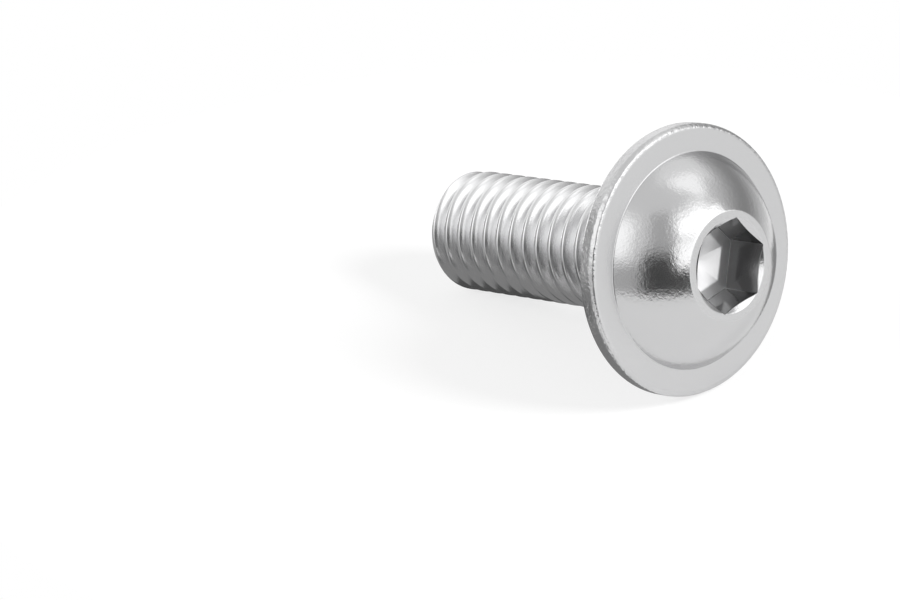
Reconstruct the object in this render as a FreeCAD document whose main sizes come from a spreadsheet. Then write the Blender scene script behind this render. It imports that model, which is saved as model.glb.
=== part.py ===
"""Flanged button head screw, M8 x 20, with a hexagon socket: one piece, cold headed and thread rolled."""

import FreeCAD, Part
import math
import os
from enum import IntEnum

import Sketcher

# Driving dimensions: millimetres, and degrees for the angles
SIZES = [
    ("flange_diameter", 17.3, "collar under the button head"),
    ("flange_thickness", 1.15, "bearing face to the flat top of the collar"),
    ("rim_top_bevel", 0.3, "45 degree bevel on the collar's upper edge"),
    ("rim_under_bevel", 0.15, "45 degree bevel on the collar's bearing edge"),
    ("head_height", 4.5, "bearing face to the flat crown"),
    ("dome_base_diameter", 13.8, "where the button head's dome meets the collar"),
    ("crown_diameter", 7.0, "where the dome meets the flat round the socket"),
    ("socket_width", 5.3, "across the flats of the hexagon"),
    ("socket_turn", 39.2, "turn of a corner of the hexagon from the side that lies on the floor"),
    ("socket_depth", 2.85, "crown to the flat border of the socket's floor"),
    ("floor_border", 0.78, "width of that border along the walls"),
    ("dish_depth", 0.55, "hollow in the middle of the floor, below the border"),
    ("dish_angle", 70.0, "lean of the hollow's sides from the axis"),
    ("mouth_diameter", 6.0, "countersink of the socket's mouth"),
    ("mouth_angle", 120.0, "full angle of that countersink"),
    ("nominal_diameter", 8.0, "thread size"),
    ("crest_allowance", 0.1, "finished crest under the nominal diameter"),
    ("thread_pitch", 1.25, "one turn of the single-start thread"),
    ("flank_angle", 60.0, "full angle between two flanks"),
    ("groove_overcut", 0.05, "how far the groove's profile passes the crest"),
    ("screw_length", 20.0, "bearing face to the flat tip"),
    ("tip_chamfer", 0.6, "45 degree chamfer at the tip"),
    ("crest_seat", 0.45, "chamfer to the middle of the crest that lies on the floor"),
    ("neck_relief", 0.8, "neck under the finished crest, on diameter"),
    ("neck_length", 1.2, "plain neck, its bevel included"),
    ("neck_bevel", 0.3, "45 degree corner between neck and bearing face"),
    ("runout_length", 2.2, "cone from the neck up to the full crest"),
]

# Turns over which the groove fades out towards the neck
FADE_TURNS = 1

# Sizes that follow from others, as expressions on the sheet
CREST = "(Sizes.nominal_diameter - Sizes.crest_allowance) / 2"
NECK = f"({CREST} - Sizes.neck_relief / 2)"
TIP = f"({CREST} - Sizes.tip_chamfer)"
FLANK_SLOPE = "tan(Sizes.flank_angle / 2 * 1 deg)"
ROOT = f"(Sizes.nominal_diameter / 2 - 7 / 16 * Sizes.thread_pitch / {FLANK_SLOPE})"
GROOVE_DEPTH = f"({CREST} + Sizes.groove_overcut - {ROOT})"
GROOVE_WIDTH = f"(2 * {GROOVE_DEPTH} * {FLANK_SLOPE})"
CHAMFER_TOP = "(Sizes.screw_length - Sizes.tip_chamfer)"
LOWEST_GROOVE = f"({CHAMFER_TOP} - Sizes.crest_seat + 1.5 * Sizes.thread_pitch)"
FULL_TURNS = f"floor(({LOWEST_GROOVE} - Sizes.neck_length) / Sizes.thread_pitch - 1 / 2) - {FADE_TURNS}"
CONE_DEPTH = "Sizes.mouth_diameter / 2 / tan(Sizes.mouth_angle / 2 * 1 deg)"

# The laid screw touches the floor with the collar's lower corner and with one crest near the tip
RIM = "Sizes.flange_diameter / 2"
CREST_EDGE = f"({LOWEST_GROOVE} - Sizes.thread_pitch - {GROOVE_WIDTH} / 2 + Sizes.groove_overcut * {FLANK_SLOPE})"
TILT = f"atan(({RIM} - {CREST}) / ({CREST_EDGE} + Sizes.rim_under_bevel))"

# Point numbers of sketch geometry, and the sketch's own axes and origin
START, END, CENTRE = IntEnum("Point", "START END CENTRE")
H_AXIS, V_AXIS = IntEnum("Axis", {"H_AXIS": -1, "V_AXIS": -2})
ORIGIN = (H_AXIS, START)


def make_sheet(doc):
    """The driving dimensions, one alias each."""
    sheet = doc.addObject("Spreadsheet::Sheet", "Sizes")
    for row, (name, value, note) in enumerate(SIZES, start=1):
        sheet.set(f"A{row}", name)
        sheet.set(f"B{row}", str(value))
        sheet.set(f"C{row}", note)
        sheet.setAlias(f"B{row}", name)
    doc.recompute()
    return sheet


def make_sketch(body, name, role, lift=None):
    """A sketch on one of the body's own origin planes, or raised above it by an expression."""
    sketch = body.newObject("Sketcher::SketchObject", name)
    sketch.Label = name
    plane = next(feature for feature in body.Origin.OriginFeatures if feature.Role == role)
    sketch.AttachmentSupport = [(plane, "")]
    sketch.MapMode = "FlatFace"
    if lift:
        sketch.setExpression("AttachmentOffset.Base.z", lift)
    return sketch


def line(sketch, start, end):
    """A straight edge; returns its number."""
    first, second = FreeCAD.Vector(*start, 0), FreeCAD.Vector(*end, 0)
    return sketch.addGeometry(Part.LineSegment(first, second), False)


def tie(sketch, kind, *where):
    """A constraint without a size."""
    sketch.addConstraint(Sketcher.Constraint(kind, *where))


def size(sketch, name, kind, where, value, expression):
    """A named dimension, driven by an expression on the sheet."""
    number = sketch.addConstraint(Sketcher.Constraint(kind, *where, value))
    sketch.renameConstraint(number, name)
    sketch.setExpression(f"Constraints.{name}", expression)


def draw_profile(sketch, s):
    """Half section of the blank, from the tip's centre round to the crown's centre and down the axis."""
    crest = (s["nominal_diameter"] - s["crest_allowance"]) / 2
    tip, neck = crest - s["tip_chamfer"], crest - s["neck_relief"] / 2
    rim, crown, base = s["flange_diameter"] / 2, s["crown_diameter"] / 2, s["dome_base_diameter"] / 2
    top, thick, length = s["head_height"], s["flange_thickness"], s["screw_length"]
    under, upper, hollow = s["rim_under_bevel"], s["rim_top_bevel"], s["neck_bevel"]
    thread_end = s["neck_length"] + s["runout_length"]
    chamfer_top = length - s["tip_chamfer"]

    # Corners in turn from the tip to the dome's foot, then from the crown back to the axis
    outside = [(0, -length), (tip, -length), (crest, -chamfer_top), (crest, -thread_end)]
    outside += [(neck, -s["neck_length"]), (neck, -hollow), (neck + hollow, 0), (rim - under, 0)]
    outside += [(rim, under), (rim, thick - upper), (rim - upper, thick), (base, thick)]
    edges = [line(sketch, *ends) for ends in zip(outside, outside[1:])]
    tip_flat, tip_cone, crest_line, runout, neck_line, neck_cone = edges[:6]
    bearing, under_cone, rim_line, upper_cone, collar_top = edges[6:]

    # The dome is a ball: its arc has its centre on the axis
    centre = (top + thick) / 2 - (base**2 - crown**2) / (2 * (top - thick))
    radius = math.hypot(base, thick - centre)
    circle = Part.Circle(FreeCAD.Vector(0, centre, 0), FreeCAD.Vector(0, 0, 1), radius)
    lean = math.atan2(thick - centre, base), math.atan2(top - centre, crown)
    dome = sketch.addGeometry(Part.ArcOfCircle(circle, *lean), False)
    crown_flat = line(sketch, (crown, top), (0, top))
    axis = line(sketch, (0, top), (0, -length))

    for level in (tip_flat, bearing, collar_top, crown_flat):
        tie(sketch, "Horizontal", level)
    for upright in (crest_line, neck_line, rim_line, axis):
        tie(sketch, "Vertical", upright)
    for before, after in zip(edges, edges[1:]):
        tie(sketch, "Coincident", before, END, after, START)
    for before, after in ((dome, crown_flat), (crown_flat, axis), (axis, tip_flat)):
        tie(sketch, "Coincident", before, END, after, START)
    tie(sketch, "Coincident", collar_top, END, dome, START)
    tie(sketch, "PointOnObject", dome, CENTRE, V_AXIS)
    tie(sketch, "PointOnObject", axis, START, V_AXIS)
    tie(sketch, "PointOnObject", bearing, START, H_AXIS)

    def radius_at(name, edge, value, expression):
        size(sketch, name, "DistanceX", (*ORIGIN, edge, START), value, expression)

    def below(name, edge, point, value, expression):
        size(sketch, name, "DistanceY", (edge, point, *ORIGIN), value, expression)

    def above(name, edge, point, value, expression):
        size(sketch, name, "DistanceY", (*ORIGIN, edge, point), value, expression)

    radius_at("tip_radius", tip_cone, tip, TIP)
    radius_at("crest_radius", crest_line, crest, CREST)
    radius_at("neck_radius", neck_line, neck, NECK)
    radius_at("bevel_radius", bearing, neck + hollow, f"{NECK} + Sizes.neck_bevel")
    radius_at("seat_radius", under_cone, rim - under, f"{RIM} - Sizes.rim_under_bevel")
    radius_at("rim_radius", rim_line, rim, RIM)
    radius_at("top_radius", collar_top, rim - upper, f"{RIM} - Sizes.rim_top_bevel")
    radius_at("base_radius", dome, base, "Sizes.dome_base_diameter / 2")
    radius_at("crown_radius", crown_flat, crown, "Sizes.crown_diameter / 2")
    below("length", tip_flat, END, length, "Sizes.screw_length")
    below("chamfer_top", crest_line, START, chamfer_top, CHAMFER_TOP)
    below("thread_end", runout, START, thread_end, "Sizes.neck_length + Sizes.runout_length")
    below("neck", neck_line, START, s["neck_length"], "Sizes.neck_length")
    below("hollow", neck_cone, START, hollow, "Sizes.neck_bevel")
    above("under", rim_line, START, under, "Sizes.rim_under_bevel")
    above("upper", rim_line, END, thick - upper, "Sizes.flange_thickness - Sizes.rim_top_bevel")
    above("collar", collar_top, START, thick, "Sizes.flange_thickness")
    above("height", crown_flat, START, top, "Sizes.head_height")


def draw_hexagon(sketch, s, width, expression):
    """A hexagon about the axis, with one corner turned from the sketch's first axis."""
    radius, turn = width / math.sqrt(3), math.radians(s["socket_turn"])
    angles = [turn + math.radians(60 * number) for number in range(6)]
    corners = [(radius * math.cos(angle), radius * math.sin(angle)) for angle in angles]
    sides = [line(sketch, corners[n], corners[(n + 1) % 6]) for n in range(6)]
    centre, upright = FreeCAD.Vector(0, 0, 0), FreeCAD.Vector(0, 0, 1)
    ring = sketch.addGeometry(Part.Circle(centre, upright, radius), True)
    spoke = sketch.addGeometry(Part.LineSegment(centre, FreeCAD.Vector(*corners[0], 0)), True)
    for number, side in enumerate(sides):
        tie(sketch, "Coincident", side, END, sides[(number + 1) % 6], START)
        tie(sketch, "PointOnObject", side, START, ring)
    for side in sides[1:]:
        tie(sketch, "Equal", sides[0], side)
    tie(sketch, "Coincident", ring, CENTRE, *ORIGIN)
    tie(sketch, "Coincident", spoke, START, *ORIGIN)
    tie(sketch, "Coincident", spoke, END, sides[0], START)
    size(sketch, "corner_radius", "Radius", (ring,), radius, f"({expression}) / sqrt(3)")
    size(sketch, "turn", "Angle", (spoke,), turn, "Sizes.socket_turn * 1 deg")


def draw_mouth(sketch, s):
    """Half section of the mouth's cone, point down, with its base on the crown."""
    radius, top = s["mouth_diameter"] / 2, s["head_height"]
    depth = radius / math.tan(math.radians(s["mouth_angle"] / 2))
    rim = line(sketch, (0, top), (radius, top))
    cone = line(sketch, (radius, top), (0, top - depth))
    axis = line(sketch, (0, top - depth), (0, top))
    tie(sketch, "Horizontal", rim)
    for before, after in ((rim, cone), (cone, axis), (axis, rim)):
        tie(sketch, "Coincident", before, END, after, START)
    tie(sketch, "PointOnObject", rim, START, V_AXIS)
    tie(sketch, "PointOnObject", axis, START, V_AXIS)
    size(sketch, "crown", "DistanceY", (*ORIGIN, rim, START), top, "Sizes.head_height")
    size(sketch, "mouth", "DistanceX", (rim, START, rim, END), radius, "Sizes.mouth_diameter / 2")
    size(sketch, "depth", "DistanceY", (axis, START, axis, END), depth, CONE_DEPTH)


def draw_groove(sketch, s, centre_depth, centre_expression):
    """Half section of the thread's groove, with its root so far below the bearing face."""
    pitch, slope = s["thread_pitch"], math.tan(math.radians(s["flank_angle"] / 2))
    root = s["nominal_diameter"] / 2 - 7 / 16 * pitch / slope
    outer = (s["nominal_diameter"] - s["crest_allowance"]) / 2 + s["groove_overcut"]
    half = (outer - root) * slope

    lower = line(sketch, (root, -centre_depth), (outer, -centre_depth - half))
    outside = line(sketch, (outer, -centre_depth - half), (outer, -centre_depth + half))
    upper = line(sketch, (outer, -centre_depth + half), (root, -centre_depth))
    for before, after in ((lower, outside), (outside, upper), (upper, lower)):
        tie(sketch, "Coincident", before, END, after, START)
    tie(sketch, "Vertical", outside)
    size(sketch, "root_radius", "DistanceX", (*ORIGIN, lower, START), root, ROOT)
    size(sketch, "depth", "DistanceX", (lower, START, lower, END), outer - root, GROOVE_DEPTH)
    size(sketch, "width", "DistanceY", (outside, START, outside, END), 2 * half, GROOVE_WIDTH)
    size(sketch, "root_level", "DistanceY", (lower, START, *ORIGIN), centre_depth, centre_expression)
    size(sketch, "half_width", "DistanceY", (lower, END, lower, START), half, f"{GROOVE_WIDTH} / 2")


def turn_blank(body, s):
    """The headed blank: shank, collar and button head in one revolve."""
    sketch = make_sketch(body, "blank_profile", "XZ_Plane")
    draw_profile(sketch, s)
    blank = body.newObject("PartDesign::Revolution", "blank")
    blank.Profile = sketch
    blank.ReferenceAxis = (sketch, ["V_Axis"])
    blank.Angle = 360


def punch_socket(body, s):
    """The hexagon down to its flat border, the hollow inside the border, and the mouth's countersink."""
    walls_sketch = make_sketch(body, "socket_outline", "XY_Plane", "Sizes.head_height * 1 mm")
    draw_hexagon(walls_sketch, s, s["socket_width"], "Sizes.socket_width")
    walls = body.newObject("PartDesign::Pocket", "socket_walls")
    walls.Profile = walls_sketch
    walls.setExpression("Length", "Sizes.socket_depth")

    floor_lift = "(Sizes.head_height - Sizes.socket_depth) * 1 mm"
    dish_sketch = make_sketch(body, "dish_outline", "XY_Plane", floor_lift)
    dish_width = s["socket_width"] - 2 * s["floor_border"]
    draw_hexagon(dish_sketch, s, dish_width, "Sizes.socket_width - 2 * Sizes.floor_border")
    dish = body.newObject("PartDesign::Pocket", "socket_dish")
    dish.Profile = dish_sketch
    dish.setExpression("Length", "Sizes.dish_depth")
    dish.setExpression("TaperAngle", "-Sizes.dish_angle")

    mouth_sketch = make_sketch(body, "mouth_profile", "XZ_Plane")
    draw_mouth(mouth_sketch, s)
    mouth = body.newObject("PartDesign::Groove", "socket_mouth")
    mouth.Profile = mouth_sketch
    mouth.ReferenceAxis = (mouth_sketch, ["V_Axis"])
    mouth.Angle = 360


def roll_thread(body, s):
    """A right-handed groove in whole turns, and one more turn in which it climbs out of the shank."""
    pitch = s["thread_pitch"]
    lowest = s["screw_length"] - s["tip_chamfer"] - s["crest_seat"] + 1.5 * pitch
    full_sketch = make_sketch(body, "groove_profile", "XZ_Plane")
    draw_groove(full_sketch, s, lowest, LOWEST_GROOVE)
    full = body.newObject("PartDesign::SubtractiveHelix", "thread")
    full.Profile = full_sketch
    full.ReferenceAxis = (full_sketch, ["V_Axis"])
    full.Mode = "pitch-turns-angle"
    full.setExpression("Pitch", "Sizes.thread_pitch")
    full.setExpression("Turns", FULL_TURNS)
    body.Document.recompute()

    fade_sketch = make_sketch(body, "fade_profile", "XZ_Plane")
    highest = f"({LOWEST_GROOVE} - thread.Turns * Sizes.thread_pitch)"
    draw_groove(fade_sketch, s, lowest - full.Turns * pitch, highest)
    fade = body.newObject("PartDesign::SubtractiveHelix", "thread_fade")
    fade.Profile = fade_sketch
    fade.ReferenceAxis = (fade_sketch, ["V_Axis"])
    fade.Mode = "height-turns-growth"
    fade.Turns = FADE_TURNS
    fade.setExpression("Height", f"{FADE_TURNS} * Sizes.thread_pitch")
    fade.setExpression("Growth", f"{CREST} - {ROOT}")


def lay_down(body):
    """Rest the screw on its collar and the last crest, head towards +X, middle of its bounds over the origin."""
    body.Placement = FreeCAD.Placement(FreeCAD.Vector(), FreeCAD.Rotation(FreeCAD.Vector(0, 1, 0), 75))
    tip_reach = f"({TIP} * sin({TILT}) + Sizes.screw_length * cos({TILT}))"
    crown_reach = f"(Sizes.crown_diameter / 2 * sin({TILT}) + Sizes.head_height * cos({TILT}))"
    rim_drop = f"{RIM} * cos({TILT}) - Sizes.rim_under_bevel * sin({TILT})"
    body.setExpression("Placement.Rotation.Angle", f"90 deg - {TILT}")
    body.setExpression("Placement.Base.x", f"({tip_reach} - {crown_reach}) / 2 * 1 mm")
    body.setExpression("Placement.Base.z", f"({rim_drop}) * 1 mm")


def check(doc):
    """Stop at any object that did not compute."""
    for thing in doc.Objects:
        if "Invalid" in thing.State or "Error" in thing.State:
            raise RuntimeError(f"{thing.Label} did not compute: {thing.State}")
        if hasattr(thing, "Shape") and thing.Shape.isNull() and thing.TypeId.startswith("PartDesign::"):
            raise RuntimeError(f"{thing.Label} has no shape")
    for sketch in doc.findObjects("Sketcher::SketchObject"):
        if not sketch.FullyConstrained:
            raise RuntimeError(f"{sketch.Label} is not fully constrained")


def main():
    doc = FreeCAD.newDocument("button_head_screw")
    sheet = make_sheet(doc)
    s = {name: sheet.get(name) for name, _, _ in SIZES}
    screw = doc.addObject("PartDesign::Body", "screw")
    screw.Label = "screw"
    turn_blank(screw, s)
    punch_socket(screw, s)
    roll_thread(screw, s)
    lay_down(screw)
    doc.recompute()
    check(doc)
    shape = screw.Shape
    if shape.isNull() or not shape.isValid() or len(shape.Solids) != 1:
        raise RuntimeError("the screw is not one valid solid")
    os.makedirs("parts", exist_ok=True)
    shape.exportStep("parts/screw.step")
    print(f"screw: {shape.Volume:.1f} mm3, {len(shape.Faces)} faces")


main()
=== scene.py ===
"""Flanged button head screw, lying on its collar and thread on a white studio floor."""

import math

import bmesh
import bpy
import numpy as np
from mathutils import Matrix, Vector

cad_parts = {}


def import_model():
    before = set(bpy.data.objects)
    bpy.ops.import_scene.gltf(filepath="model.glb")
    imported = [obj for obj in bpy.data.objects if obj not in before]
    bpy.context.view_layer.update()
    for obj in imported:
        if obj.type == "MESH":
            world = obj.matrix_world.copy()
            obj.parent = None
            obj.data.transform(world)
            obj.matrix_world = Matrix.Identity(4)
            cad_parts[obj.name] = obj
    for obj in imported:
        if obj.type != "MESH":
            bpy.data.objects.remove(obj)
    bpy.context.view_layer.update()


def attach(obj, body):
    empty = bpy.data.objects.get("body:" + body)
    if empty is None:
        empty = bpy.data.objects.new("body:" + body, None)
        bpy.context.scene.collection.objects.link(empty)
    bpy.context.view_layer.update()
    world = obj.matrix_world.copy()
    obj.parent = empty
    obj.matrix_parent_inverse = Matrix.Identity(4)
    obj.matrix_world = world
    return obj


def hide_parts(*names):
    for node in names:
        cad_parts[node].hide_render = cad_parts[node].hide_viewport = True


MM = 0.001
TAU = 2 * math.pi

# The screw's dimensions in millimetres and degrees, as in the part's own source
FLANGE_R, FLANGE_T = 8.65, 1.15
RIM_TOP_BEVEL, RIM_UNDER_BEVEL = 0.3, 0.15
HEAD_H, DOME_BASE_R, CROWN_R = 4.5, 6.9, 3.5
SOCKET_W, SOCKET_TURN, SOCKET_DEPTH = 5.3, 39.2, 2.85
FLOOR_BORDER, DISH_DEPTH, DISH_R = 0.78, 0.55, 0.36
MOUTH_R, MOUTH_ANGLE = 3.0, 120.0
CREST_R, PITCH, LENGTH = 3.95, 1.25, 20.0
THREAD_HALF_ANGLE = 30.0
SHARP_ROOT_R = 4.0 - 7 / 16 * PITCH / math.tan(math.radians(THREAD_HALF_ANGLE))
TIP_CHAMFER, CREST_SEAT = 0.6, 0.45
NECK_R, NECK_LENGTH, RUNOUT = 3.55, 1.2, 2.2

# Small rounds that the source leaves sharp, in millimetres
NECK_ROUND, RIM_UNDER_ROUND, RIM_EDGE_ROUND, DOME_FOOT_ROUND = 0.4, 0.17, 0.1, 0.14
CROWN_ROUND, MOUTH_ROUND, LEAD_IN_ROUND = 0.12, 0.08, 0.06
WALL_FOOT_ROUND, DISH_ROUND = 0.03, 0.1
ROOT_SOFTNESS, CREST_SOFTNESS, CHAMFER_SOFTNESS, BLANK_SOFTNESS = 0.1, 0.05, 0.08, 0.05
TIP_EDGE_HEIGHT, TIP_EDGE_DROP = 0.12, 0.1

# The middle of the rim's top bevel is a corner of its own: shares of the bevel, inward and down
RIM_SHOULDER_IN, RIM_SHOULDER_DOWN = 0.4, 0.17

# Where the groove runs, and the turns in which it fades towards the neck
LOWEST_GROOVE = -(LENGTH - TIP_CHAMFER - CREST_SEAT + 1.5 * PITCH)
FULL_TURNS = 14
CREST_HALF = PITCH / 2 - (CREST_R - SHARP_ROOT_R) * math.tan(math.radians(THREAD_HALF_ANGLE))

# The lying pose
CREST_EDGE = -(LOWEST_GROOVE + PITCH) - (PITCH / 2 - CREST_HALF)
TILT = math.atan((FLANGE_R - CREST_R) / (CREST_EDGE + RIM_UNDER_BEVEL))

# How finely round things are cut: sides, rows, and the lines over half a pitch of the thread
HEAD_SIDES, SHANK_SIDES, DOME_ROWS = 288, 192, 40
HEAD_ANGLES = np.arange(HEAD_SIDES) / HEAD_SIDES * TAU
HALF_PITCH_LINES = [0.04, 0.09, 0.14, 0.25, 0.37, 0.48, 0.505, 0.53]
TIP_RINGS = (0.02, 0.05, 0.08, 0.12, 0.2, TIP_CHAMFER - 0.05, TIP_CHAMFER + 0.05)
DISH_SHARES = (0.25, 0.5, 0.75)
SHANK_GRID_R, CENTRE_R = 3.6, 0.03

# A round takes at most this share of the shorter side, and its support line lies past it in mm
ROUND_SHARE, SUPPORT_SHARE, SUPPORT, ROUND_STEPS = 0.48, 0.49, 0.04, 6

# The countersink is at least this wide at the hexagon's corners
LEAST_LEAD_IN = 0.02

# Within these distances a height or a point counts as the same, in millimetres
CUT_TOLERANCE, LEVEL_TOLERANCE, FLAT_TOLERANCE, HAIR = 1e-6, 1e-4, 0.001, 0.01

# Shank and head are cut inside the neck, a little apart, and bridged
NECK_CUT, NECK_GAP = -0.9, 0.05

# The camera that took the photograph: pixels, degrees and millimetres
FOCAL_PX, IMAGE_W, SENSOR_W = 4372.9, 900, 36.0
CAMERA_AZIMUTH, CAMERA_ELEVATION = 47.51, 26.48
SEAT_IN_CAMERA = Vector((14.511, 2.59, -275.394))
CLIP_START = 0.01

# Finishes of the one piece, in the order of its material slots: tone, roughness, height of the
# wavy skin and of the fine grain, and where they aren't the usual ones the sizes of both, in mm
FINISHES = {
    "dome": ("plated_dome", 0.585, 0.18, 0.009, 0.008, 0.32, 0.15),
    "collar": ("plated_collar", 0.585, 0.26, 0.004, 0.002),
    "rim": ("plated_rim", 0.6, 0.25, 0.05, 0.006, 0.3),
    # Socket walls: tone far darker than the plating, painted shade in the recess
    "socket_wall": ("broached_wall_painted_shade", 0.25, 0.12, 0.01, 0.003),
    # Socket floor: tone lighter than the plating, painted light for the lamp's light falling into
    # the socket
    "socket_floor": ("punched_floor_painted_light", 0.8, 0.42, 0.01, 0.003),
    # Thread: tone lighter than the head's plating, painted highlight that whitens the bright bands
    # on its flanks
    "thread": ("plated_thread_painted_highlight", 0.72, 0.24, 0.003, 0.002),
}
ZONES = list(FINISHES)
BLUE_SHARE, NOISE_DETAIL = 1.008, 2

# Where one finish ends and the next begins, and with it the painted shade and light of socket and
# thread, in millimetres
THREAD_FINISH_TOP, COLLAR_FINISH_DEPTH, COLLAR_FINISH_MARGIN = -0.3, 0.3, 0.1
SOCKET_FINISH_DROP, FLOOR_FINISH_RISE = 0.05, 0.002

# The studio's shell, in metres and degrees
SHELL_R, SHELL_AZIMUTH_STEP = 0.6, 2
SHELL_LOW, SHELL_HIGH, SHELL_RINGS = -12, 88, 51
SHELL_LEVEL = 0.87

# Its panels, each over the last: azimuths, elevations, brightness and softness of the edge
PANELS = {
    "horizon": ((84, 190), (-14, 9), 1.12, 7),
    "grey_front": ((6, 52), (-14, 17), 0.55, 6),
    "high_front": ((40, 82), (27, 64), 0.55, 8),
    "dark_front": ((34, 84), (-14, 28), 0.07, 14),
    "left_softbox": ((-48, 19), (17, 54), 1.6, 22),
    "key_softbox": ((75, 131), (17, 56), 2.1, 20),
    "key_wing": ((121, 143), (9, 43), 2.5, 6),
    "dark_back": ((138, 220), (-4, 33), 0.32, 40),
    "pale_back": ((174, 220), (38, 86), 1.05, 10),
    "top_lamp": ((140, 182), (50, 77), 1.5, 6),
    "key_foot": ((67, 100), (12, 32), 1.75, 5),
    "key_gap": ((77, 96), (33, 40), 1.25, 4),
    "left_wall": ((-140, -75), (0, 34), 1.15, 10),
    "left_dim": ((-68, -42), (-14, 24), 0.35, 6),
    "left_low": ((-112, -69), (-14, 2), 3.0, 4),
}

# Painted shade: grey glowing cards on the floor that only the shank mirrors, standing in for the
# floor's shadow around it; height, brightness and corners in millimetres
FLOOR_SHADE_CARDS = {
    # Painted shadow of the head on the floor under and beside the shank
    "floor_shade_card": (0.02, 0.27, [(-13, -70), (2, -70), (2, -16), (9, -14), (9, 30), (-13, 30)]),
    # Painted shade on the floor beyond the tip
    "tip_shade_card": (0.02, 0.42, [(-70, -70), (-13, -70), (-13, 30), (-70, 30)]),
    # Painted shadow on the floor in front of the shank
    "front_shadow_card": (0.04, 0.15, [(-13, -17), (0, -17), (0, -7.5), (-13, -7.5)]),
    # Painted contact shadow on the floor right under the shank
    "contact_shadow_card": (0.04, 0.09, [(-13, -2.9), (-1, -2.9), (-1, 3.2), (-13, 3.2)]),
}

# One more stands beside the collar and leans as its underside does, painted shade that the flanks
# mirror in place of the shaded collar and floor: corners are Y and Z
SIDE_CARD_X, SIDE_CARD_LEAN, SIDE_CARD_SHADE_LEVEL = 9.4, 0.245, 0.28
SIDE_CARD = [
    (-17, 0.1), (-1, 0.1), (-4.2, 0.9), (-6.5, 2), (-8.6, 4), (-9.7, 6), (-10, 9), (-17, 9),
]

# Lamps that light the floor, in degrees and watts, and their place and size in metres
LAMPS = {"key_lamp": (115, 42, 3.9), "left_lamp": (-12, 38, 1.2)}
LAMP_DISTANCE, LAMP_SIZE = 0.7, 0.25

# The floor's radius in metres, its own tone, and how much of it the camera sees as plain white
FLOOR_R, FLOOR_SIDES, FLOOR_TONE = 0.045, 96, 0.9
FLOOR_WHITE, FLOOR_WHITE_SHARE = 1.06, 0.72

# The world as it is seen and mirrored, and as it lights
WORLD_SEEN, WORLD_LIGHT = 1.0, 0.45


def direction(azimuth, elevation):
    """Unit vector from the screw: azimuth 0 is -Y and 90 is +X."""
    a, e = math.radians(azimuth), math.radians(elevation)
    return Vector((math.sin(a) * math.cos(e), -math.cos(a) * math.cos(e), math.sin(e)))


def lying_matrix():
    """From the screw's own frame, in millimetres with the head up, to the lying pose in metres."""
    s, c = math.sin(TILT), math.cos(TILT)
    tip_reach = (CREST_R - TIP_CHAMFER) * s + LENGTH * c
    crown_reach = CROWN_R * s + HEAD_H * c
    place = Vector(((tip_reach - crown_reach) / 2, 0, FLANGE_R * c - RIM_UNDER_BEVEL * s))
    turn = Matrix.Rotation(math.pi / 2 - TILT, 4, "Y")
    return Matrix.Scale(MM, 4) @ Matrix.Translation(place) @ turn


def add_object(name, bm):
    """An object in the scene from a finished bmesh, which is freed."""
    mesh = bpy.data.meshes.new(name)
    bm.to_mesh(mesh)
    bm.free()
    thing = bpy.data.objects.new(name, mesh)
    bpy.context.scene.collection.objects.link(thing)
    return thing


# Surface rows: a row is a radius and a height, each a number or an array round the axis

def row(r, z):
    """Radius and height for each side of the head's grid."""
    return np.array(np.broadcast_arrays(r, z, np.zeros(HEAD_SIDES)))[:2]


def rounded(corners):
    """Rows along a section whose corners (radius, height, round) become smooth curves."""
    rows = []
    for k, (r, z, round_size) in enumerate(corners):
        here = row(r, z)
        if not round_size:
            rows.append(here)
            continue
        back, ahead = row(*corners[k - 1][:2]) - here, row(*corners[k + 1][:2]) - here
        back_len, ahead_len = np.hypot(*back), np.hypot(*ahead)
        shorter = np.minimum(back_len, ahead_len)
        size = np.minimum(round_size, ROUND_SHARE * shorter)
        reach = np.minimum(size + SUPPORT, SUPPORT_SHARE * shorter)
        back, ahead = back / back_len, ahead / ahead_len
        rows.append(here + back * reach)
        for t in np.linspace(0, 1, ROUND_STEPS + 1):
            rows.append(here + back * size * (1 - t) ** 2 + ahead * size * t**2)
        rows.append(here + ahead * reach)
    return rows


def dome_rows():
    """Rows up the ball of the button head, between its foot and the crown."""
    centre = (HEAD_H + FLANGE_T) / 2 - (DOME_BASE_R**2 - CROWN_R**2) / (2 * (HEAD_H - FLANGE_T))
    radius = math.hypot(DOME_BASE_R, FLANGE_T - centre)
    first = math.atan2(FLANGE_T - centre, DOME_BASE_R)
    last = math.atan2(HEAD_H - centre, CROWN_R)
    leans = np.linspace(first, last, DOME_ROWS)[1:-1]
    return [(radius * math.cos(t), centre + radius * math.sin(t), 0) for t in leans]


def hexagon(width, angle):
    """Radius of a hexagon at an angle from one of its corners."""
    return width / 2 / np.cos((angle % (TAU / 6)) - TAU / 12)


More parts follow.
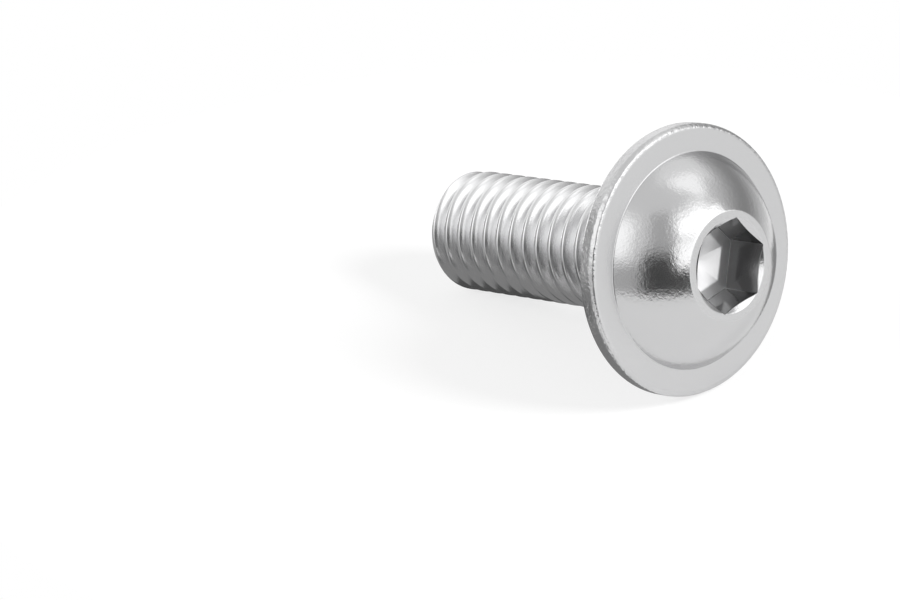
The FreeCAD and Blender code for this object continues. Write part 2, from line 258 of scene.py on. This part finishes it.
def head_rows():
    """The head's rows from the neck out, round the rim, over the dome and into the socket."""
    shoulder_r = FLANGE_R - RIM_SHOULDER_IN * RIM_TOP_BEVEL
    shoulder_z = FLANGE_T - RIM_SHOULDER_DOWN * RIM_TOP_BEVEL
    corners = [
        (NECK_R, NECK_CUT + NECK_GAP, 0),
        (NECK_R, 0, NECK_ROUND),
        (FLANGE_R, 0, RIM_UNDER_ROUND),
        (FLANGE_R, FLANGE_T - RIM_TOP_BEVEL, RIM_EDGE_ROUND),
        (shoulder_r, shoulder_z, RIM_EDGE_ROUND),
        (FLANGE_R - RIM_TOP_BEVEL, FLANGE_T, RIM_EDGE_ROUND),
        (DOME_BASE_R, FLANGE_T, DOME_FOOT_ROUND),
    ]
    corners += dome_rows()

    walls = hexagon(SOCKET_W, HEAD_ANGLES)
    mouth = np.maximum(MOUTH_R, walls + LEAST_LEAD_IN)
    lead_in = (mouth - walls) / math.tan(math.radians(MOUTH_ANGLE / 2))
    border = hexagon(SOCKET_W - 2 * FLOOR_BORDER, HEAD_ANGLES)
    floor = HEAD_H - SOCKET_DEPTH
    corners += [
        (CROWN_R, HEAD_H, CROWN_ROUND),
        (mouth, HEAD_H, MOUTH_ROUND),
        (walls, HEAD_H - lead_in, LEAD_IN_ROUND),
        (walls, floor, WALL_FOOT_ROUND),
        (border, floor, DISH_ROUND),
    ]
    for share in DISH_SHARES:
        blend = border + (DISH_R - border) * share
        blend += (np.mean(blend) - blend) * share
        corners.append((blend, floor - DISH_DEPTH * share, 0))
    corners += [(DISH_R, floor - DISH_DEPTH, DISH_ROUND), (CENTRE_R, floor - DISH_DEPTH, 0)]
    return rounded(corners)


def smooth_min(a, b, soft):
    """The lower of two heights, with the edge between them eased."""
    h = np.clip(0.5 + 0.5 * (b - a) / soft, 0, 1)
    return b + (a - b) * h - soft * h * (1 - h)


def thread_radius(angle, z):
    """Radius of the shank's surface at an angle and height."""
    slope = 1 / math.tan(math.radians(THREAD_HALF_ANGLE))
    turn = (z - LOWEST_GROOVE) / PITCH - angle / TAU
    groove = np.round(turn)
    off = np.abs(turn - groove) * PITCH
    flank = SHARP_ROOT_R + np.hypot(off, ROOT_SOFTNESS) * slope
    climb = np.clip(groove + angle / TAU - FULL_TURNS, 0, 2)
    flank = flank + climb * (CREST_R - SHARP_ROOT_R)
    crest = smooth_min(flank, CREST_R + CREST_SOFTNESS / 4, CREST_SOFTNESS)

    # The blank before rolling: neck, run-out cone, full crest and the tip's chamfer
    cone = NECK_R + (CREST_R - NECK_R) * np.clip((-NECK_LENGTH - z) / RUNOUT, 0, 1.5)
    blank = smooth_min(cone, CREST_R, BLANK_SOFTNESS)
    blank = np.where(z > -NECK_LENGTH, NECK_R, blank)
    chamfer = CREST_R - TIP_CHAMFER + (z + LENGTH)
    blank = smooth_min(blank, chamfer, CHAMFER_SOFTNESS)
    edge = np.clip(1 - (z + LENGTH) / TIP_EDGE_HEIGHT, 0, 1)
    return smooth_min(crest, blank, BLANK_SOFTNESS) - TIP_EDGE_DROP * edge**2


def build_head(bm):
    """Head and socket, one grid round the axis."""
    angle = HEAD_ANGLES + math.radians(SOCKET_TURN)
    cosines, sines = np.cos(angle), np.sin(angle)
    rings = []
    for r, z in head_rows():
        ring = zip(r * cosines, r * sines, z)
        rings.append([bm.verts.new(point) for point in ring])
    for lower, upper in zip(rings, rings[1:]):
        for i in range(HEAD_SIDES):
            j = (i + 1) % HEAD_SIDES
            bm.faces.new((lower[i], lower[j], upper[j], upper[i]))
    bm.faces.new(rings[-1])


def cut(bm, height, side=0):
    """Cut the mesh level at a height, and with a side clear away what lies beyond it."""
    bmesh.ops.bisect_plane(
        bm,
        geom=bm.verts[:] + bm.edges[:] + bm.faces[:],
        dist=CUT_TOLERANCE,
        plane_co=(0, 0, height),
        plane_no=(0, 0, side or 1),
        clear_outer=bool(side),
    )


def build_shank(bm):
    """Helical grid whose lines follow the crests, cut square at the tip and in the neck."""
    mirrored = [-line for line in reversed(HALF_PITCH_LINES)]
    section = np.array([-PITCH / 2] + mirrored + HALF_PITCH_LINES)
    rows = len(section)
    first = math.floor((-LENGTH - 0.5 - LOWEST_GROOVE) / PITCH) - 2
    last = math.ceil(-LOWEST_GROOVE / PITCH) + 1
    crests = [LOWEST_GROOVE + (n + 0.5) * PITCH for n in range(first, last)]
    starts = np.concatenate([crest + section for crest in crests])
    grid = []
    for angle in np.arange(SHANK_SIDES) / SHANK_SIDES * TAU:
        x, y = math.cos(angle) * SHANK_GRID_R, math.sin(angle) * SHANK_GRID_R
        heights = starts + angle / TAU * PITCH
        grid.append([bm.verts.new((x, y, height)) for height in heights])
    for i in range(SHANK_SIDES):
        # The last side joins the first one a turn of the helix higher
        step = rows if i == SHANK_SIDES - 1 else 0
        here, there = grid[i], grid[(i + 1) % SHANK_SIDES]
        for j in range(len(starts) - 1 - step):
            bm.faces.new((here[j], there[j + step], there[j + 1 + step], here[j + 1]))

    cut(bm, NECK_CUT, 1)
    cut(bm, -LENGTH, -1)
    for height in TIP_RINGS:
        cut(bm, height - LENGTH)
    for vert in bm.verts:
        turn = math.atan2(vert.co.y, vert.co.x) % TAU
        radius = float(thread_radius(turn, vert.co.z))
        vert.co.x, vert.co.y = radius * math.cos(turn), radius * math.sin(turn)


def boundary(bm, height):
    """Open edges at a height."""
    edges = [edge for edge in bm.edges if edge.is_boundary]
    return [e for e in edges if all(abs(v.co.z - height) < LEVEL_TOLERANCE for v in e.verts)]


def zone(centre):
    """Finish at a point of the screw's own frame; it also places the painted shade of the socket's
    walls and the painted light of its floor and of the thread.
    """
    radius = math.hypot(centre.x, centre.y)
    if centre.z < THREAD_FINISH_TOP:
        return "thread"
    if centre.z < FLANGE_T + HAIR and radius > FLANGE_R - RIM_TOP_BEVEL:
        return "rim"
    if centre.z < FLANGE_T + HAIR and radius > DOME_BASE_R - COLLAR_FINISH_MARGIN:
        return "collar"
    wall = hexagon(SOCKET_W, math.atan2(centre.y, centre.x) - math.radians(SOCKET_TURN))
    if centre.z < HEAD_H - SOCKET_FINISH_DROP and radius < wall + HAIR:
        on_wall = centre.z > HEAD_H - SOCKET_DEPTH + FLOOR_FINISH_RISE
        return "socket_wall" if on_wall else "socket_floor"
    if centre.z < FLANGE_T - COLLAR_FINISH_DEPTH:
        return "collar"
    return "dome"


def build_screw():
    """The whole screw as one mesh in its own frame, then laid down."""
    bm = bmesh.new()
    build_shank(bm)
    bmesh.ops.edgeloop_fill(bm, edges=boundary(bm, -LENGTH))
    build_head(bm)
    loops = boundary(bm, NECK_CUT) + boundary(bm, NECK_CUT + NECK_GAP)
    bmesh.ops.bridge_loops(bm, edges=loops)
    bmesh.ops.recalc_face_normals(bm, faces=bm.faces)
    for face in bm.faces:
        centre = face.calc_center_median()
        # All but the flat tip is shaded smooth
        face.smooth = centre.z > -LENGTH + FLAT_TOLERANCE
        face.material_index = ZONES.index(zone(centre))
    screw = add_object("screw_surface", bm)
    screw.data.transform(lying_matrix())
    return screw


# Materials

def new_material(name):
    """An empty node material, its nodes and its links."""
    material = bpy.data.materials.new(name)
    material.use_nodes = True
    material.node_tree.nodes.clear()
    return material, material.node_tree.nodes, material.node_tree.links


def steel(name, tone, roughness, coarse, fine, coarse_size=0.5, fine_size=0.12):
    """Bright zinc plated steel: a wavy skin and a fine grain, each with its bump in mm. The tone
    carries painted shade on the socket's walls and painted light on its floor and on the thread.
    """
    material, nodes, links = new_material(name)
    out = nodes.new("ShaderNodeOutputMaterial")
    shader = nodes.new("ShaderNodeBsdfPrincipled")
    shader.inputs["Base Color"].default_value = (tone, tone, tone * BLUE_SHARE, 1)
    shader.inputs["Metallic"].default_value = 1
    shader.inputs["Roughness"].default_value = roughness
    place = nodes.new("ShaderNodeTexCoord")
    normal = None
    for size, height in ((coarse_size, coarse), (fine_size, fine)):
        noise = nodes.new("ShaderNodeTexNoise")
        noise.inputs["Scale"].default_value = 1 / (size * MM)
        noise.inputs["Detail"].default_value = NOISE_DETAIL
        bump = nodes.new("ShaderNodeBump")
        bump.inputs["Strength"].default_value = 1
        bump.inputs["Distance"].default_value = height * MM
        links.new(place.outputs["Object"], noise.inputs["Vector"])
        links.new(noise.outputs["Fac"], bump.inputs["Height"])
        if normal:
            links.new(normal, bump.inputs["Normal"])
        normal = bump.outputs["Normal"]
    links.new(normal, shader.inputs["Normal"])
    links.new(shader.outputs["BSDF"], out.inputs["Surface"])
    return material


def dress(screw):
    """A finish for each zone: grainy dome, satin collar, speckled rim, socket with painted shade
    on its walls and painted light on its floor, rolled thread with a lighter tone as painted
    highlight.
    """
    for finish in FINISHES.values():
        screw.data.materials.append(steel(*finish))


# The studio

def make_glow(name):
    """A glowing material and the socket of its strength."""
    material, nodes, links = new_material(name)
    out = nodes.new("ShaderNodeOutputMaterial")
    glow = nodes.new("ShaderNodeEmission")
    links.new(glow.outputs["Emission"], out.inputs["Surface"])
    return material, glow.inputs["Strength"]


def hide_but_mirror(thing):
    """Leave a thing to mirrored rays alone: it is not seen, lights nothing and casts no shadow."""
    thing.visible_camera = False
    thing.visible_shadow = False
    thing.visible_diffuse = False
    thing.visible_transmission = False


def soft_step(value, edge, soft):
    """From 0 below the edge to 1 above it."""
    t = np.clip((value - edge) / soft + 0.5, 0, 1)
    return t * t * (3 - 2 * t)


def shell_level(azimuth, elevation):
    """Brightness of the studio's shell in a direction."""
    level = SHELL_LEVEL
    for (left, right), (low, high), brightness, soft in PANELS.values():
        middle, half = (left + right) / 2, (right - left) / 2
        aside = abs((azimuth - middle + 180) % 360 - 180)
        cover = soft_step(-aside, -half, soft)
        cover *= soft_step(elevation, low, soft) * soft_step(-elevation, -high, soft)
        level += (brightness - level) * cover
    return level


def make_shell():
    """The studio as the metal mirrors it: softboxes, dark flags and a grey ceiling on a shell."""
    azimuths = np.arange(0, 360, SHELL_AZIMUTH_STEP)
    elevations = np.linspace(SHELL_LOW, SHELL_HIGH, SHELL_RINGS)
    bm = bmesh.new()
    grid = [[bm.verts.new(direction(a, e) * SHELL_R) for a in azimuths] for e in elevations]
    for lower, upper in zip(grid, grid[1:]):
        for i in range(len(azimuths)):
            j = (i + 1) % len(azimuths)
            bm.faces.new((lower[i], lower[j], upper[j], upper[i]))
    bm.faces.new(grid[-1])
    shell = add_object("studio_shell", bm)
    level = shell.data.attributes.new("level", "FLOAT", "POINT")
    level.data.foreach_set("value", [shell_level(a, e) for e in elevations for a in azimuths])
    material, strength = make_glow("studio_shell")
    value = material.node_tree.nodes.new("ShaderNodeAttribute")
    value.attribute_name = "level"
    material.node_tree.links.new(value.outputs["Fac"], strength)
    shell.data.materials.append(material)
    hide_but_mirror(shell)


def make_card(name, corners, level):
    """A flat glowing card that only the metal mirrors, painted shade in its reflections: corners
    in millimetres.
    """
    bm = bmesh.new()
    bm.faces.new([bm.verts.new(Vector(corner) * MM) for corner in corners])
    card = add_object(name, bm)
    material, strength = make_glow(name)
    strength.default_value = level
    card.data.materials.append(material)
    hide_but_mirror(card)


def make_cards():
    """Painted shade as grey glowing cards: on the floor under the shank, and upright behind the
    collar's plane.
    """
    for name, (lift, level, corners) in FLOOR_SHADE_CARDS.items():
        make_card(name, [(x, y, lift) for x, y in corners], level)
    corners = [(SIDE_CARD_X - SIDE_CARD_LEAN * z, y, z) for y, z in SIDE_CARD]
    make_card("collar_shade_card", corners, SIDE_CARD_SHADE_LEVEL)


def make_lamp(name, azimuth, elevation, energy):
    """A round softbox that lights the floor and casts the screw's soft shadow."""
    light = bpy.data.lights.new(name, "AREA")
    light.shape = "DISK"
    light.size = LAMP_SIZE
    light.energy = energy
    lamp = bpy.data.objects.new(name, light)
    back = direction(azimuth, elevation)
    aim = back.to_track_quat("Z", "Y").to_matrix().to_4x4()
    lamp.matrix_world = Matrix.Translation(back * LAMP_DISTANCE) @ aim
    lamp.visible_glossy = False
    bpy.context.scene.collection.objects.link(lamp)


def make_floor():
    """A round white sheet that keeps the screw's soft shadow."""
    bm = bmesh.new()
    bmesh.ops.create_circle(bm, cap_ends=True, segments=FLOOR_SIDES, radius=FLOOR_R)
    floor = add_object("floor", bm)
    material, nodes, links = new_material("floor_sheet")
    out = nodes.new("ShaderNodeOutputMaterial")
    paper = nodes.new("ShaderNodeBsdfDiffuse")
    paper.inputs["Color"].default_value = (FLOOR_TONE, FLOOR_TONE, FLOOR_TONE, 1)
    glow = nodes.new("ShaderNodeEmission")
    glow.inputs["Strength"].default_value = FLOOR_WHITE
    path = nodes.new("ShaderNodeLightPath")
    share = nodes.new("ShaderNodeMath")
    share.operation = "MULTIPLY"
    share.inputs[1].default_value = FLOOR_WHITE_SHARE
    mix = nodes.new("ShaderNodeMixShader")
    links.new(path.outputs["Is Camera Ray"], share.inputs[0])
    links.new(share.outputs[0], mix.inputs["Fac"])
    links.new(paper.outputs["BSDF"], mix.inputs[1])
    links.new(glow.outputs["Emission"], mix.inputs[2])
    links.new(mix.outputs["Shader"], out.inputs["Surface"])
    floor.data.materials.append(material)


def make_world():
    """White all round for the eye and for the metal, and a plain even light for the rest."""
    world = bpy.data.worlds.new("studio")
    bpy.context.scene.world = world
    world.use_nodes = True
    nodes, links = world.node_tree.nodes, world.node_tree.links
    nodes.clear()
    out = nodes.new("ShaderNodeOutputWorld")
    seen = nodes.new("ShaderNodeBackground")
    light = nodes.new("ShaderNodeBackground")
    for background, strength in ((seen, WORLD_SEEN), (light, WORLD_LIGHT)):
        background.inputs["Color"].default_value = (1, 1, 1, 1)
        background.inputs["Strength"].default_value = strength
    path = nodes.new("ShaderNodeLightPath")
    camera_or_glossy = nodes.new("ShaderNodeMath")
    camera_or_glossy.operation = "MAXIMUM"
    any_of_three = nodes.new("ShaderNodeMath")
    any_of_three.operation = "MAXIMUM"
    mix = nodes.new("ShaderNodeMixShader")
    links.new(path.outputs["Is Camera Ray"], camera_or_glossy.inputs[0])
    links.new(path.outputs["Is Glossy Ray"], camera_or_glossy.inputs[1])
    links.new(camera_or_glossy.outputs[0], any_of_three.inputs[0])
    links.new(path.outputs["Is Transmission Ray"], any_of_three.inputs[1])
    links.new(any_of_three.outputs[0], mix.inputs["Fac"])
    links.new(light.outputs[0], mix.inputs[1])
    links.new(seen.outputs[0], mix.inputs[2])
    links.new(mix.outputs[0], out.inputs["Surface"])


def make_camera():
    """The photograph's camera, placed from where it saw the middle of the bearing face."""
    back = direction(CAMERA_AZIMUTH, CAMERA_ELEVATION)
    azimuth = math.radians(CAMERA_AZIMUTH)
    right = Vector((math.cos(azimuth), math.sin(azimuth), 0))
    axes = Matrix((right, back.cross(right), back)).transposed()
    seat = lying_matrix() @ Vector((0, 0, 0))
    camera = bpy.data.objects.new("camera", bpy.data.cameras.new("camera"))
    camera.data.sensor_width = SENSOR_W
    camera.data.lens = FOCAL_PX * SENSOR_W / IMAGE_W
    camera.data.clip_start = CLIP_START
    place = seat - axes @ (SEAT_IN_CAMERA * MM)
    camera.matrix_world = Matrix.Translation(place) @ axes.to_4x4()
    bpy.context.scene.collection.objects.link(camera)
    bpy.context.scene.camera = camera


def main():
    """The screw over its frame, then the studio and the camera."""
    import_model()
    screw = build_screw()
    dress(screw)
    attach(screw, "root")
    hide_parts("screw")
    make_shell()
    for name, (azimuth, elevation, energy) in LAMPS.items():
        make_lamp(name, azimuth, elevation, energy)
    make_floor()
    make_cards()
    make_world()
    make_camera()
    bpy.context.scene.view_settings.view_transform = "Standard"


main()
